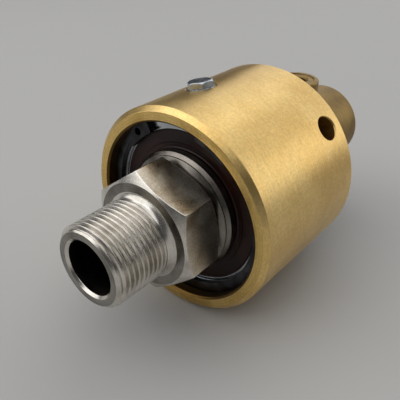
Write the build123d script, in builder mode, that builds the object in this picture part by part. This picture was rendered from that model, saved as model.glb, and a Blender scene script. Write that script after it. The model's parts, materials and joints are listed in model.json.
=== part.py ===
"""Rotary union: a stainless rotor that turns in a brass housing and carries fluid through a face seal.

Millimetres. X is the rotation axis and points to the rear, and +Z is up. The origin is the centre of the
rear port's mouth. Angles round the axis are in degrees from +Z towards -Y.
"""
import os
from math import cos, radians, sin, tan

from build123d import *

os.makedirs("parts", exist_ok=True)

# Running and assembly clearances, on the radius
guide_clearance = 0.05
lip_clearance = 0.10
race_clearance = 0.10
pocket_clearance = 0.12
notch_clearance = 0.15
cut_overrun = 1.0

# Ball bearings, two of the same size
bearing_bore = 35.0
bearing_outer = 62.0
bearing_width = 14.0
ball_diameter = 7.938
ball_count = 11
race_conformity = 0.52
inner_ring_wall = 3.9
outer_ring_wall = 3.8
bearing_edge_chamfer = 1.0
inner_notch_depth = 2.2
outer_notch_depth = 0.8
seal_notch_width = 2.0
seal_thickness = 1.3
seal_setback = 0.5
seal_step_depth = 0.3
seal_lip_rim = 1.8
seal_outer_rim = 1.5
cage_rim = 0.411
cage_thickness = 2.6

# Housing barrel
housing_wall = 5.0
front_chamfer = 1.6
rear_chamfer = 0.6
mouth_chamfer = 0.7
circlip_setback = 4.0
spacer_width = 4.0
inner_spacer_wall = 2.5
outer_spacer_wall = 3.0
chamber_length = 16.0
chamber_clearance = 0.6
vent_diameter = 8.5
vent_count = 3
vent_angle = 51.0
vent_edge = 0.4

# Retaining rings
bore_ring_thickness = 2.0
bore_groove_depth = 1.5
bore_ring_width = 4.4
bore_ring_lug = 5.8
bore_ring_angle = -8.0
bore_ring_half_gap = 19.5
shaft_ring_thickness = 1.5
shaft_groove_depth = 1.0
shaft_ring_width = 3.4
shaft_ring_lug = 5.4
shaft_ring_angle = 120.0
shaft_ring_half_gap = 4.0
ring_groove_slack = 0.15
ring_eccentricity = 0.5
ring_hole = 2.5
lug_span = 26.0
lug_eye_angle = 11.7
lug_round = 1.0

# Rotor
rotor_bore = 17.6
thread_outer = 26.44
thread_reach = 21.5
thread_lead_chamfer = 1.5
relief_width = 2.9
relief_depth = 1.12
hex_flats = 36.0
hex_length = 16.5
hex_front_step = 1.5
hex_rear_step = 0.6
hex_front_slope = 30.0
hex_rear_slope = 45.0
hex_corner_angle = 52.5
collar_height = 1.5
collar_length = 3.5
collar_chamfer = 0.6
hex_groove_width = 0.6
hex_groove_depth = 0.3
bore_mouth_chamfer = 0.8
tail_length = 2.9
tail_clearance = 0.2
tail_wall = 4.7

# Face seal
seal_ring_thickness = 3.0
seal_ring_setback = 1.8
seal_ring_wall = 3.4
seal_ring_stem_length = 5.0
seal_ring_stem_gap = 0.5
carbon_length = 5.5
carbon_wall = 3.8
carbon_nose_length = 1.5
carbon_nose_step = 1.2
carbon_nose_width = 2.0
carbon_seat_depth = 3.0
carrier_flange_thickness = 4.0
carrier_rim = 3.8
carrier_wall = 3.65
carrier_stem_length = 14.5
carrier_travel = 2.0
end_float = 1.0
carrier_ring_setback = 1.5
o_ring_section = 1.6
o_ring_groove_width = 2.2

# Spring and its pocket
spring_length = 10.0
spring_clearance = 1.25
spring_room = 5.05
spring_wire = 1.8
spring_turns = 3.5
pocket_wall_clearance = 0.5

# Anti-rotation pins
pin_diameter = 3.0
pin_count = 2
pin_angle = 90.0
pin_seat_depth = 4.0
pin_lead = 1.5
pin_out_of_wall = 0.3

# End cap
spigot_length = 4.0
spigot_wall = 4.95
flange_edge = 1.05
flange_thickness = 7.0
flange_chamfer = 0.6
hub_gap = 0.45
hub_length = 8.0
hub_taper_length = 8.0
waterway = 18.0
boss_diameter = 32.0
boss_length = 24.6
boss_chamfer = 1.5
port_tap_bore = 24.12
port_depth = 17.0
side_port_setback = 12.0
side_boss_diameter = 17.0
side_boss_rise = 4.5
side_boss_round = 0.8
side_port_thread = 13.16
side_port_depth = 11.0
side_passage = 7.0

# Cap screws, metric 5, and the filler plug screw
screw_count = 6
screw_wall = 4.0
screw_angle = 30.0
screw_thread = 5.0
screw_length = 12.0
screw_head = 8.5
screw_head_height = 5.0
screw_socket = 4.0
screw_socket_depth = 2.5
screw_head_clearance = 0.25
screw_hole_clearance = 0.25
tapped_hole_reserve = 1.5
filler_angle = -10.6
filler_thread = 5.0
filler_tip_clearance = 0.3
filler_head_flats = 8.0
filler_head_height = 3.5
filler_head_turn = 38.0
filler_spot_depth = 0.45
filler_spot_margin = 0.6
grease_hole = 2.5

# Side port plug
plug_recess = 0.3
plug_end_gap = 0.7
plug_socket = 7.0
plug_socket_depth = 5.0

# Stations along the axis
stack_length = bore_ring_thickness + 2 * bearing_width + spacer_width
housing_length = circlip_setback + stack_length + chamber_length
cap_length = flange_thickness + hub_length + hub_taper_length + boss_length
housing_front = -(housing_length + cap_length)
ring_front = housing_front + circlip_setback
stack_front = ring_front + bore_ring_thickness
spacer_front = stack_front + bearing_width
second_bearing = spacer_front + spacer_width
stack_rear = second_bearing + bearing_width
housing_rear = stack_rear + chamber_length
shaft_ring_rear = stack_rear + shaft_ring_thickness
rotor_rear = shaft_ring_rear + ring_groove_slack + tail_length
seal_face = rotor_rear + seal_ring_thickness
carbon_rear = seal_face + carbon_length
carrier_front = carbon_rear - carbon_seat_depth
flange_rear = carrier_front + carrier_flange_thickness
pocket_floor = flange_rear + spring_length
carrier_rear = flange_rear + carrier_stem_length
guide_rear = carrier_rear + carrier_travel + end_float
spigot_front = housing_rear - spigot_length
cap_flange_rear = housing_rear + flange_thickness
hub_rear = cap_flange_rear + hub_length
boss_front = hub_rear + hub_taper_length
cap_rear = boss_front + boss_length
port_bottom = cap_rear - port_depth
side_port_x = cap_flange_rear + side_port_setback
collar_front = stack_front - collar_length
hex_rear = collar_front - hex_groove_width
hex_front = hex_rear - hex_length
rotor_front = hex_front - thread_reach
relief_front = hex_front - relief_width

# Diameters and radii that follow from the ones above
housing_outer = bearing_outer + 2 * housing_wall
pitch_radius = (bearing_bore + bearing_outer) / 4
inner_shoulder = bearing_bore + 2 * inner_ring_wall
outer_shoulder = bearing_outer - 2 * outer_ring_wall
inner_notch = inner_shoulder - 2 * inner_notch_depth
outer_notch = outer_shoulder + 2 * outer_notch_depth
cage_width = ball_diameter + 2 * (pocket_clearance + cage_rim)
bore_ring_groove = bearing_outer + 2 * bore_groove_depth
shaft_ring_groove = bearing_bore - 2 * shaft_groove_depth
chamber_bore = shaft_ring_groove + 2 * (shaft_ring_lug + chamber_clearance)
collar_diameter = bearing_bore + 2 * collar_height
tail_diameter = bearing_bore - 2 * tail_clearance
relief_diameter = thread_outer - 2 * relief_depth
hex_corner_radius = hex_flats / 2 / cos(radians(30))
hex_front_face = hex_flats - 2 * hex_front_step
hex_rear_face = hex_flats - 2 * hex_rear_step
hex_front_cone = (hex_corner_radius - hex_front_face / 2) * tan(radians(hex_front_slope))
hex_rear_cone = (hex_corner_radius - hex_rear_face / 2) * tan(radians(hex_rear_slope))
spigot_diameter = chamber_bore - 2 * guide_clearance
pocket_bore = spigot_diameter - 2 * spigot_wall
carrier_flange_outer = pocket_bore - 2 * pocket_wall_clearance
carrier_stem_outer = pocket_bore - 2 * spring_room
carrier_bore = carrier_stem_outer - 2 * carrier_wall
guide_bore = carrier_stem_outer + 2 * guide_clearance
carbon_outer = carrier_flange_outer - 2 * carrier_rim
carbon_inner = carbon_outer - 2 * carbon_wall
carbon_nose_outer = carbon_outer - 2 * carbon_nose_step
carbon_nose_inner = carbon_nose_outer - 2 * carbon_nose_width
seal_ring_outer = tail_diameter - 2 * seal_ring_setback
seal_ring_stem_outer = tail_diameter - 2 * tail_wall
seal_ring_inner = seal_ring_stem_outer - 2 * seal_ring_wall
spring_mean = carrier_stem_outer + spring_wire + 2 * spring_clearance
screw_circle = chamber_bore + 2 * screw_wall
flange_outer = screw_circle + screw_head + 2 * flange_edge
hub_diameter = screw_circle - screw_head - 2 * hub_gap
side_boss_height = hub_diameter / 2 + side_boss_rise
filler_x = spacer_front + spacer_width / 2
filler_spotface = housing_outer / 2 - filler_spot_depth
filler_spot_diameter = filler_head_flats / cos(radians(30)) + 2 * filler_spot_margin


def around(angle, radius):
    """Y and Z of a point at this angle and distance from the axis."""
    return -radius * sin(radians(angle)), radius * cos(radians(angle))


def radial_plane(x, angle, radius):
    """Plane tangent to a cylinder round the axis, facing outwards, with its own X along the axis."""
    side, up = around(angle, radius)
    return Plane(origin=(x, side, up), x_dir=(1, 0, 0), z_dir=(0, side, up))


def turned(*outline):
    """Turn a closed outline of (x, radius) points round the axis."""
    with BuildSketch(Plane.XZ) as section:
        with BuildLine():
            Polyline(*outline, close=True)
        make_face()
    revolve(section.sketch, axis=Axis.X)


def turned_ring(front, rear, inner, outer):
    """Turn a plain ring between two stations and two diameters."""
    turned((front, inner / 2), (rear, inner / 2), (rear, outer / 2), (front, outer / 2))


def ring_cut(front, rear, inner, outer):
    """Cut a plain ring out of the part under construction."""
    with BuildSketch(Plane.YZ.offset(front)) as ring:
        Circle(outer / 2)
        if inner > 0:
            Circle(inner / 2, mode=Mode.SUBTRACT)
    extrude(ring.sketch, amount=rear - front, mode=Mode.SUBTRACT)


def o_ring(front, inner, outer):
    """O-ring squeezed into a groove that starts at this station."""
    radius = (outer - inner) / 4
    with BuildSketch(Plane.XZ) as section:
        with Locations((front + o_ring_groove_width / 2, inner / 2 + radius)):
            Circle(radius)
    revolve(section.sketch, axis=Axis.X)


def sector(inner, outer, start, end):
    """Flat ring sector between two radii; start and end are angles round the axis."""
    with BuildLine() as edge:
        CenterArc((0, 0), outer, start + 90, end - start)
        CenterArc((0, 0), inner, start + 90, end - start)
        for angle in (start, end):
            Line(around(angle, inner), around(angle, outer))
    make_face(edge.edges())


def retaining_ring(front, thickness, seat, width, lug, gap_angle, half_gap, inward):
    """Circlip: a ring that seats at one diameter, an off-centre other edge, a gap and two eyed lugs."""
    way = -1 if inward else 1
    seat_radius = seat / 2
    free_radius = seat_radius + way * width
    lug_radius = seat_radius + way * lug
    low, high = sorted((seat_radius, lug_radius))
    shift = around(gap_angle, -way * ring_eccentricity)
    eye_radius = lug_radius - way * ring_hole
    with BuildSketch(Plane.YZ.offset(front)) as face:
        if inward:
            Circle(seat_radius)
            with Locations(shift):
                Circle(free_radius, mode=Mode.SUBTRACT)
        else:
            with Locations(shift):
                Circle(free_radius)
            Circle(seat_radius, mode=Mode.SUBTRACT)
        for side in (-1, 1):
            near = gap_angle + side * half_gap
            far = gap_angle + side * (half_gap + lug_span)
            with BuildSketch() as lug_face:
                sector(low, high, min(near, far), max(near, far))
                corners = lug_face.vertices().sort_by(lambda corner: -way * Vector(*corner).length)
                fillet(corners[0:2], lug_round)
        with BuildSketch(mode=Mode.SUBTRACT):
            sector(low - cut_overrun, high + cut_overrun, gap_angle - half_gap, gap_angle + half_gap)
        eye_span = half_gap + lug_eye_angle
        with Locations(*[around(gap_angle + side * eye_span, eye_radius) for side in (-1, 1)]):
            Circle(ring_hole / 2, mode=Mode.SUBTRACT)
    extrude(face.sketch, amount=thickness)


def race_groove(front, bottom_radius, outward):
    """Cut the ball track of a bearing ring: an arc section a little wider than the ball."""
    track = ball_diameter * race_conformity
    way = 1 if outward else -1
    with BuildSketch(Plane.XZ) as section:
        with Locations((front + bearing_width / 2, bottom_radius + way * track)):
            Circle(track)
    revolve(section.sketch, axis=Axis.X, mode=Mode.SUBTRACT)


def save(piece, label):
    """Name a finished piece and write it as its own node."""
    piece.part.label = label
    export_step(piece.part, f"parts/{label}.step")


# Housing: brass barrel, open in front for the bearings, bored smaller behind for the seal chamber
with BuildPart() as housing:
    turned(
        (housing_front, bearing_outer / 2 + mouth_chamfer),
        (housing_front + mouth_chamfer, bearing_outer / 2),
        (stack_rear, bearing_outer / 2),
        (stack_rear, chamber_bore / 2),
        (housing_rear, chamber_bore / 2),
        (housing_rear, housing_outer / 2 - rear_chamfer),
        (housing_rear - rear_chamfer, housing_outer / 2),
        (housing_front + front_chamfer, housing_outer / 2),
        (housing_front, housing_outer / 2 - front_chamfer),
    )
    ring_cut(ring_front - ring_groove_slack, stack_front, bearing_outer - cut_overrun, bore_ring_groove)
    vent_depth = (housing_outer - chamber_bore) / 2 + cut_overrun
    for turn in range(vent_count):
        angle = vent_angle + turn * 360 / vent_count
        with Locations(radial_plane(seal_face, angle, housing_outer / 2).location):
            CounterSinkHole(vent_diameter / 2, vent_diameter / 2 + vent_edge, vent_depth)
    with BuildSketch(Plane.YZ.offset(housing_rear)):
        with PolarLocations(screw_circle / 2, screw_count, start_angle=90 + screw_angle):
            Circle(screw_thread / 2)
    screw_depth = screw_length - (flange_thickness - screw_head_height) + tapped_hole_reserve
    extrude(amount=-screw_depth, mode=Mode.SUBTRACT)
    with BuildSketch(radial_plane(filler_x, filler_angle, filler_spotface)):
        Circle(filler_spot_diameter / 2)
    extrude(amount=filler_spot_depth + cut_overrun, mode=Mode.SUBTRACT)
    with BuildSketch(radial_plane(filler_x, filler_angle, filler_spotface)):
        Circle(filler_thread / 2)
    extrude(amount=-(housing_wall + cut_overrun), mode=Mode.SUBTRACT)
save(housing, "housing")

# Rotor: threaded nose, hexagon, collar, bearing seat, circlip groove and a counterbore for its seal ring
with BuildPart() as rotor:
    groove_radius = hex_rear_face / 2 - hex_groove_depth
    seal_seat_front = rotor_rear - seal_ring_stem_length - seal_ring_stem_gap
    turned(
        (rotor_front, rotor_bore / 2 + bore_mouth_chamfer),
        (rotor_front, thread_outer / 2 - thread_lead_chamfer),
        (rotor_front + thread_lead_chamfer, thread_outer / 2),
        (relief_front - (thread_outer - relief_diameter) / 2, thread_outer / 2),
        (relief_front, relief_diameter / 2),
        (hex_front, relief_diameter / 2),
        (hex_front, hex_front_face / 2),
        (hex_front + hex_front_cone, hex_corner_radius),
        (hex_rear - hex_rear_cone, hex_corner_radius),
        (hex_rear, hex_rear_face / 2),
        (hex_rear, groove_radius),
        (collar_front, groove_radius),
        (collar_front, collar_diameter / 2 - collar_chamfer),
        (collar_front + collar_chamfer, collar_diameter / 2),
        (stack_front, collar_diameter / 2),
        (stack_front, bearing_bore / 2),
        (stack_rear, bearing_bore / 2),
        (stack_rear, shaft_ring_groove / 2),
        (shaft_ring_rear + ring_groove_slack, shaft_ring_groove / 2),
        (shaft_ring_rear + ring_groove_slack, tail_diameter / 2),
        (rotor_rear, tail_diameter / 2),
        (rotor_rear, seal_ring_stem_outer / 2),
        (seal_seat_front, seal_ring_stem_outer / 2),
        (seal_seat_front, rotor_bore / 2),
        (rotor_front + bore_mouth_chamfer, rotor_bore / 2),
    )
    with BuildSketch(Plane.YZ.offset(hex_front)):
        Circle(hex_corner_radius + cut_overrun)
        corner_turn = 90 + hex_corner_angle
        RegularPolygon(hex_flats / 2, 6, major_radius=False, rotation=corner_turn, mode=Mode.SUBTRACT)
    extrude(amount=hex_length, mode=Mode.SUBTRACT)
save(rotor, "rotor")

# Retaining rings: one in the housing bore, one on the rotor
with BuildPart() as bore_circlip:
    retaining_ring(
        ring_front,
        bore_ring_thickness,
        bore_ring_groove,
        bore_ring_width,
        bore_ring_lug,
        bore_ring_angle,
        bore_ring_half_gap,
        inward=True,
    )
save(bore_circlip, "bore_circlip")

with BuildPart() as shaft_circlip:
    retaining_ring(
        stack_rear,
        shaft_ring_thickness,
        shaft_ring_groove,
        shaft_ring_width,
        shaft_ring_lug,
        shaft_ring_angle,
        shaft_ring_half_gap,
        inward=False,
    )
save(shaft_circlip, "shaft_circlip")

# Two ball bearings, each with rings, balls, a cage and one rubber seal that faces out of the pair
inner_track = pitch_radius - ball_diameter / 2 - race_clearance
outer_track = pitch_radius + ball_diameter / 2 + race_clearance
ball_angles = [turn * 360 / ball_count for turn in range(ball_count)]
for label, front, seal_in_front in (("front", stack_front, True), ("rear", second_bearing, False)):
    rear = front + bearing_width
    middle = front + bearing_width / 2

    with BuildPart() as inner_ring:
        turned(
            (front, bearing_bore / 2 + bearing_edge_chamfer),
            (front, inner_notch / 2),
            (front + seal_notch_width, inner_notch / 2),
            (front + seal_notch_width, inner_shoulder / 2),
            (rear - seal_notch_width, inner_shoulder / 2),
            (rear - seal_notch_width, inner_notch / 2),
            (rear, inner_notch / 2),
            (rear, bearing_bore / 2 + bearing_edge_chamfer),
            (rear - bearing_edge_chamfer, bearing_bore / 2),
            (front + bearing_edge_chamfer, bearing_bore / 2),
        )
        race_groove(front, inner_track, True)
    save(inner_ring, f"{label}_bearing_inner_ring")

    with BuildPart() as outer_ring:
        turned(
            (front, bearing_outer / 2 - bearing_edge_chamfer),
            (front, outer_notch / 2),
            (front + seal_notch_width, outer_notch / 2),
            (front + seal_notch_width, outer_shoulder / 2),
            (rear - seal_notch_width, outer_shoulder / 2),
            (rear - seal_notch_width, outer_notch / 2),
            (rear, outer_notch / 2),
            (rear, bearing_outer / 2 - bearing_edge_chamfer),
            (rear - bearing_edge_chamfer, bearing_outer / 2),
            (front + bearing_edge_chamfer, bearing_outer / 2),
        )
        race_groove(front, outer_track, False)
    save(outer_ring, f"{label}_bearing_outer_ring")

    with BuildPart() as balls:
        with Locations(*[(middle, *around(angle, pitch_radius)) for angle in ball_angles]):
            Sphere(ball_diameter / 2)
    save(balls, f"{label}_bearing_balls")

    with BuildPart() as cage:
        cage_inner = 2 * pitch_radius - cage_thickness
        cage_outer = 2 * pitch_radius + cage_thickness
        turned_ring(middle - cage_width / 2, middle + cage_width / 2, cage_inner, cage_outer)
        for angle in ball_angles:
            with BuildSketch(radial_plane(middle, angle, cage_outer / 2 + cut_overrun)):
                Circle(ball_diameter / 2 + pocket_clearance)
            extrude(amount=-(cage_thickness + 2 * cut_overrun), mode=Mode.SUBTRACT)
    save(cage, f"{label}_bearing_cage")

    with BuildPart() as bearing_seal:
        face, back = (front + seal_setback, front + seal_setback + seal_thickness)
        if not seal_in_front:
            face, back = (rear - seal_setback, rear - seal_setback - seal_thickness)
        step = seal_step_depth if seal_in_front else -seal_step_depth
        lip = inner_notch / 2 + lip_clearance
        step_inner = lip + seal_lip_rim
        step_outer = outer_notch / 2 - seal_outer_rim
        turned(
            (face, lip),
            (face, step_inner),
            (face + step, step_inner),
            (face + step, step_outer),
            (face, step_outer),
            (face, outer_notch / 2),
            (back, outer_notch / 2),
            (back, lip),
        )
    save(bearing_seal, f"{label}_bearing_seal")

# Spacers that hold the two bearings apart
with BuildPart() as inner_spacer:
    turned_ring(spacer_front, second_bearing, bearing_bore, bearing_bore + 2 * inner_spacer_wall)
save(inner_spacer, "inner_spacer")

with BuildPart() as outer_spacer:
    turned_ring(spacer_front, second_bearing, bearing_outer - 2 * outer_spacer_wall, bearing_outer)
    with BuildSketch(radial_plane(filler_x, filler_angle, bearing_outer / 2)):
        Circle(grease_hole / 2)
    extrude(amount=-(outer_spacer_wall + cut_overrun), mode=Mode.SUBTRACT)
save(outer_spacer, "outer_spacer")

# Rotating seal ring with its O-ring, set in the rotor's tail
stem_front = rotor_rear - seal_ring_stem_length
stem_groove_front = stem_front + (seal_ring_stem_length - o_ring_groove_width) / 2
stem_groove_diameter = seal_ring_stem_outer - 2 * o_ring_section
with BuildPart() as rotating_seal_ring:
    turned_ring(stem_front, rotor_rear, seal_ring_inner, seal_ring_stem_outer)
    turned_ring(rotor_rear, seal_face, seal_ring_inner, seal_ring_outer)
    ring_cut(
        stem_groove_front,
        stem_groove_front + o_ring_groove_width,
        stem_groove_diameter,
        seal_ring_stem_outer + cut_overrun,
    )
save(rotating_seal_ring, "rotating_seal_ring")

with BuildPart() as seal_ring_o_ring:
    o_ring(stem_groove_front, stem_groove_diameter, seal_ring_stem_outer)
save(seal_ring_o_ring, "seal_ring_o_ring")

# Carbon seal ring: a narrow nose bears on the rotating ring
with BuildPart() as carbon_seal_ring:
    turned_ring(seal_face, seal_face + carbon_nose_length, carbon_nose_inner, carbon_nose_outer)
    turned_ring(seal_face + carbon_nose_length, carbon_rear, carbon_inner, carbon_outer)
save(carbon_seal_ring, "carbon_seal_ring")

# Carrier: holds the carbon ring, slides in the end cap, and is keyed by the pins in its rim
pin_radius = pocket_bore / 2 + pin_out_of_wall
carrier_groove_front = pocket_floor + carrier_ring_setback
carrier_groove_diameter = carrier_stem_outer - 2 * o_ring_section
pin_spots = [around(pin_angle + turn * 360 / pin_count, pin_radius) for turn in range(pin_count)]
with BuildPart() as seal_carrier:
    turned(
        (carrier_front, carbon_outer / 2),
        (carrier_front, carrier_flange_outer / 2),
        (flange_rear, carrier_flange_outer / 2),
        (flange_rear, carrier_stem_outer / 2),
        (carrier_rear, carrier_stem_outer / 2),
        (carrier_rear, carrier_bore / 2),
        (carbon_rear, carrier_bore / 2),
        (carbon_rear, carbon_outer / 2),
    )
    ring_cut(
        carrier_groove_front,
        carrier_groove_front + o_ring_groove_width,
        carrier_groove_diameter,
        carrier_stem_outer + cut_overrun,
    )
    with BuildSketch(Plane.YZ.offset(carrier_front)):
        with Locations(*pin_spots):
            Circle(pin_diameter / 2 + notch_clearance)
    extrude(amount=carrier_flange_thickness, mode=Mode.SUBTRACT)
save(seal_carrier, "seal_carrier")

with BuildPart() as carrier_o_ring:
    o_ring(carrier_groove_front, carrier_groove_diameter, carrier_stem_outer)
save(carrier_o_ring, "carrier_o_ring")

# Spring: a coil with flat ground ends between the carrier's rim and the floor of the cap's pocket
with BuildPart() as seal_spring:
    with BuildLine() as coil:
        Helix(
            pitch=spring_length / spring_turns,
            height=spring_length,
            radius=spring_mean / 2,
            center=(flange_rear, 0, 0),
            direction=(1, 0, 0),
        )
    with BuildSketch(Plane(origin=coil.line @ 0, z_dir=coil.line % 0)):
        Circle(spring_wire / 2)
    sweep(path=coil.line, is_frenet=True)
    split(bisect_by=Plane.YZ.offset(flange_rear), keep=Keep.TOP)
    split(bisect_by=Plane.YZ.offset(pocket_floor), keep=Keep.BOTTOM)
save(seal_spring, "seal_spring")

# End cap: spigot and bolted flange in front, a hub, the rear port boss and a small side boss
cap_groove_front = spigot_front + (spigot_length - o_ring_groove_width) / 2
cap_groove_diameter = spigot_diameter - 2 * o_ring_section
with BuildPart() as end_cap:
    turned(
        (spigot_front, 0),
        (spigot_front, spigot_diameter / 2),
        (housing_rear, spigot_diameter / 2),
        (housing_rear, flange_outer / 2),
        (cap_flange_rear - flange_chamfer, flange_outer / 2),
        (cap_flange_rear, flange_outer / 2 - flange_chamfer),
        (cap_flange_rear, hub_diameter / 2),
        (hub_rear, hub_diameter / 2),
        (boss_front, boss_diameter / 2),
        (cap_rear - boss_chamfer, boss_diameter / 2),
        (cap_rear, boss_diameter / 2 - boss_chamfer),
        (cap_rear, 0),
    )
    with BuildSketch(Plane.XY):
        with Locations((side_port_x, 0)):
            Circle(side_boss_diameter / 2)
    extrude(amount=side_boss_height)
    rim = end_cap.faces().sort_by(Axis.Z)[-1].edges()
    fillet(rim, side_boss_round)
    ring_cut(spigot_front, pocket_floor, 0, pocket_bore)
    ring_cut(pocket_floor, guide_rear, 0, guide_bore)
    ring_cut(guide_rear, port_bottom, 0, waterway)
    ring_cut(port_bottom, cap_rear, 0, port_tap_bore)
    ring_cut(
        cap_groove_front,
        cap_groove_front + o_ring_groove_width,
        cap_groove_diameter,
        spigot_diameter + cut_overrun,
    )
    with BuildSketch(Plane.YZ.offset(spigot_front)):
        with Locations(*pin_spots):
            Circle(pin_diameter / 2)
    extrude(amount=pocket_floor + pin_seat_depth - spigot_front, mode=Mode.SUBTRACT)
    with Locations(Plane.YZ.offset(cap_flange_rear).location):
        with PolarLocations(screw_circle / 2, screw_count, start_angle=90 + screw_angle):
            CounterBoreHole(
                radius=screw_thread / 2 + screw_hole_clearance,
                counter_bore_radius=screw_head / 2 + screw_head_clearance,
                counter_bore_depth=screw_head_height,
                depth=flange_thickness,
            )
    with Locations(Location((side_port_x, 0, side_boss_height))):
        CounterBoreHole(side_passage / 2, side_port_thread / 2, side_port_depth, side_boss_height)
save(end_cap, "end_cap")

with BuildPart() as end_cap_o_ring:
    o_ring(cap_groove_front, cap_groove_diameter, spigot_diameter)
save(end_cap_o_ring, "end_cap_o_ring")

with BuildPart() as anti_rotation_pins:
    with BuildSketch(Plane.YZ.offset(spigot_front - pin_lead)):
        with Locations(*pin_spots):
            Circle(pin_diameter / 2)
    extrude(amount=pocket_floor + pin_seat_depth - spigot_front + pin_lead)
save(anti_rotation_pins, "anti_rotation_pins")

# Six socket-head cap screws that hold the end cap
head_seat = cap_flange_rear - screw_head_height
with BuildPart() as end_cap_screws:
    with BuildSketch(Plane.YZ.offset(head_seat)):
        with PolarLocations(screw_circle / 2, screw_count, start_angle=90 + screw_angle):
            Circle(screw_head / 2)
    extrude(amount=screw_head_height)
    with BuildSketch(Plane.YZ.offset(head_seat)):
        with PolarLocations(screw_circle / 2, screw_count, start_angle=90 + screw_angle):
            Circle(screw_thread / 2)
    extrude(amount=-screw_length)
    with BuildSketch(Plane.YZ.offset(cap_flange_rear)):
        with PolarLocations(screw_circle / 2, screw_count, start_angle=90 + screw_angle):
            RegularPolygon(screw_socket / 2, 6, major_radius=False)
    extrude(amount=-screw_socket_depth, mode=Mode.SUBTRACT)
save(end_cap_screws, "end_cap_screws")

# Filler plug: a hexagon screw on a spot face, over the gap between the bearings
with BuildPart() as filler_plug:
    with BuildSketch(radial_plane(filler_x, filler_angle, filler_spotface)):
        RegularPolygon(filler_head_flats / 2, 6, major_radius=False, rotation=filler_head_turn)
    extrude(amount=filler_head_height)
    with BuildSketch(radial_plane(filler_x, filler_angle, filler_spotface)):
        Circle(filler_thread / 2)
    extrude(amount=-(filler_spotface - bearing_outer / 2 - filler_tip_clearance))
save(filler_plug, "filler_plug")

# Side port plug: headless, with a hexagon socket
plug_top = side_boss_height - plug_recess
plug_length = side_port_depth - plug_recess - plug_end_gap
with BuildPart() as side_port_plug:
    with BuildSketch(Plane.XY.offset(plug_top)):
        with Locations((side_port_x, 0)):
            Circle(side_port_thread / 2)
    extrude(amount=-plug_length)
    with BuildSketch(Plane.XY.offset(plug_top)):
        with Locations((side_port_x, 0)):
            RegularPolygon(plug_socket / 2, 6, major_radius=False)
    extrude(amount=-plug_socket_depth, mode=Mode.SUBTRACT)
save(side_port_plug, "side_port_plug")
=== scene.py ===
# Rotary union: a stainless rotor turning in a brass housing. Metres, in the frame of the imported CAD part:
# X is the rotation axis and points to the rear, +Z is up.
import json

import bmesh
import bpy
import numpy as np
from mathutils import Matrix, Vector


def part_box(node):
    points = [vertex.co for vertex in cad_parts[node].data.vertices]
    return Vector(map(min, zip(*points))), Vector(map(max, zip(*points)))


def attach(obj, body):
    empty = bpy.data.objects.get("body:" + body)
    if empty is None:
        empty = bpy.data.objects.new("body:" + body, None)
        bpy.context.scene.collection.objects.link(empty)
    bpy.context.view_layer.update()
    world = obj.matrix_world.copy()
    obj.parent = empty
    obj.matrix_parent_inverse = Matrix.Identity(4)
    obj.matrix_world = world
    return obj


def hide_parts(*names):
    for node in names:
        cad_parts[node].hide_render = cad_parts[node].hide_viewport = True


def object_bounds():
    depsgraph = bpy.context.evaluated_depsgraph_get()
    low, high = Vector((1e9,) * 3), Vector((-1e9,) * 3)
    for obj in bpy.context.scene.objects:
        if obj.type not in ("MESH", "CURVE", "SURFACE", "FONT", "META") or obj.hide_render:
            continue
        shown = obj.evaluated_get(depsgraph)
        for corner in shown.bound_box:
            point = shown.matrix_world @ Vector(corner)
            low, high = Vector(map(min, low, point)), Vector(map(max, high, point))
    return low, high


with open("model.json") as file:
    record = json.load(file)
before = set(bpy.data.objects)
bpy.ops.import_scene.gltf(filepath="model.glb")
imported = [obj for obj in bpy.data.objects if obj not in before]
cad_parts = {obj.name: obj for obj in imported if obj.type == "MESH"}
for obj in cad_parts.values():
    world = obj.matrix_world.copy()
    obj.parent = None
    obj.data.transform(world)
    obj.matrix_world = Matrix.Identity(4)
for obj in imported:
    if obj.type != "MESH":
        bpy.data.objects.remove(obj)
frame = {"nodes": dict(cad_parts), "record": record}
cadLow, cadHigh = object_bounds()
print("frame: loaded", len(frame["nodes"]), "CAD nodes")

mm = 0.001
sharpAngle = 28.0  # degrees between two faces from which their edge counts as sharp
cadNodes = frame["nodes"]
slots = {part["node"]: part["material_slot"] for part in frame["record"]["subparts"]}


def roundedPath(corners, closed=True, arcSteps=5):
    # corners are (x, radius, rounding); each corner C becomes the curve (1-u)^2 A + 2u(1-u) C + u^2 B, where A
    # and B lie on its two sides at the cut length; one more point on each side keeps the shading of flats even
    corners = np.array(corners, float)
    points = corners[:, :2]
    count = len(points)
    u = np.linspace(0, 1, arcSteps + 1)[:, None]
    path = []
    for i in range(count):
        corner = points[i]
        toBefore, toAfter = points[i - 1] - corner, points[(i + 1) % count] - corner
        lengthBefore, lengthAfter = np.hypot(*toBefore), np.hypot(*toAfter)
        cut = min(corners[i, 2], 0.4 * lengthBefore, 0.4 * lengthAfter)
        if cut < 1e-6 or (not closed and i in (0, count - 1)):
            path.append(corner[None, :])
            continue
        a = corner + toBefore / lengthBefore * cut
        b = corner + toAfter / lengthAfter * cut
        arc = (1 - u) ** 2 * a + 2 * u * (1 - u) * corner + u ** 2 * b
        path.append(np.vstack([a + (a - corner) * 0.2, arc, b + (b - corner) * 0.2]))
    path = np.vstack(path)
    return path[:, :1], path[:, 1:]


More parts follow.
